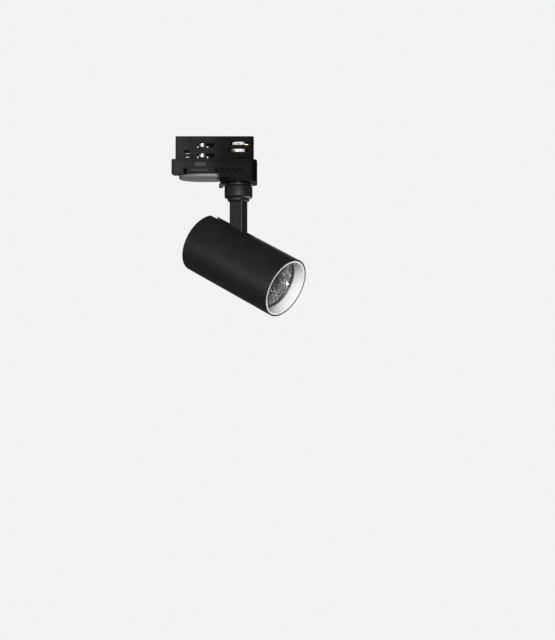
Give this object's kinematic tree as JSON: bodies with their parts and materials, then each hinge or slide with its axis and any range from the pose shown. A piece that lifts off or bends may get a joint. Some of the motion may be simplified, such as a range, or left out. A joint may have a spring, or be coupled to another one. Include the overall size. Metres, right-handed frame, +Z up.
{
  "type": "track spotlight",
  "caption": "Cylindrical spotlight on a rectangular stem that pans and tilts under a three-phase track adapter with a locking lever and a phase selector.",
  "frame": {"origin": "point where the pan axis meets the adapter's face that seats on the track", "axes": "+X along the track, away from the locking lever; +Y away from the front; +Z up into the track. At rest the head is turned 32 degrees towards the front and points 27.1 degrees down."},
  "size_m": [0.1314, 0.1043, 0.1785],
  "materials": {
    "black_paint": "matte black powder coat",
    "adapter_plastic": "moulded, satin",
    "lever_plastic": "moulded, matte",
    "bezel_plastic": "moulded, satin",
    "baffle_white": "matte white paint",
    "white_plastic": "moulded",
    "steel": "zinc plated",
    "brass": "spring brass",
    "sink_aluminium": "as machined",
    "reflector_mirror": "metallised",
    "lens_glass": "clear",
    "phosphor": "phosphor coating",
    "circuit_board": "solder resist",
    "cable": "insulation"
  },
  "bodies": {
    "adapter": {"adapter_lower_housing": "adapter_plastic", "adapter_upper_shell": "adapter_plastic", "housing_screw_1": "steel", "housing_screw_2": "steel", "housing_screw_3": "steel", "earth_contact": "steel", "neutral_contact": "brass", "terminal_block": "white_plastic", "adapter_leads": "cable", "nipple": "steel", "stop_washer": "steel", "swivel_nut": "steel"},
    "lock_lever": {"lock_lever": "lever_plastic", "lock_shaft": "steel", "lock_cam_1": "steel", "lock_cam_2": "steel", "lock_clip": "steel"},
    "phase_selector": {"phase_selector_ring": "adapter_plastic", "phase_drum": "white_plastic", "phase_contact_1": "brass", "phase_contact_2": "brass", "phase_contact_3": "brass"},
    "swivel": {"swivel_collar": "black_paint", "swivel_cone": "black_paint", "stop_pin": "steel", "stem": "black_paint", "stem_screw_1": "steel", "stem_screw_2": "steel", "supply_cable": "cable"},
    "head": {"head_tube": "black_paint", "rear_cap": "black_paint", "rear_cap_screw_1": "steel", "rear_cap_screw_2": "steel", "pivot_bracket": "steel", "axle_screw": "steel", "axle_nut": "steel", "friction_washer_1": "steel", "friction_washer_2": "steel", "heat_sink": "sink_aluminium", "bracket_screw_1": "steel", "bracket_screw_2": "steel", "driver_case": "white_plastic", "driver_lid": "white_plastic", "driver_board": "circuit_board", "cob_board": "sink_aluminium", "led_emitter": "phosphor", "cob_holder": "white_plastic", "cob_screw_1": "steel", "cob_screw_2": "steel", "reflector": "reflector_mirror", "lens": "lens_glass", "lens_bezel": "bezel_plastic", "baffle_ring": "baffle_white", "led_wires": "cable", "head_wires": "cable"}
  },
  "joints": [
    {"name": "lock_lever_turn", "type": "hinge", "parent": "adapter", "child": "lock_lever", "pos_m": [-0.0355, 0, -0.0155], "axis": [0, 0, 1], "range_deg": [0, 90]},
    {"name": "phase_selector_turn", "type": "hinge", "parent": "adapter", "child": "phase_selector", "pos_m": [0, 0, -0.0228], "axis": [0, 0, 1], "range_deg": [0, 90]},
    {"name": "pan", "type": "hinge", "parent": "adapter", "child": "swivel", "pos_m": [0, 0, -0.03], "axis": [0, 0, 1], "range_deg": [-140.5, 204.5]},
    {"name": "tilt", "type": "hinge", "parent": "swivel", "child": "head", "pos_m": [0, 0, -0.0926], "axis": [0.5299, 0.848, 0], "range_deg": [-27.1, 62.9]}
  ]
}
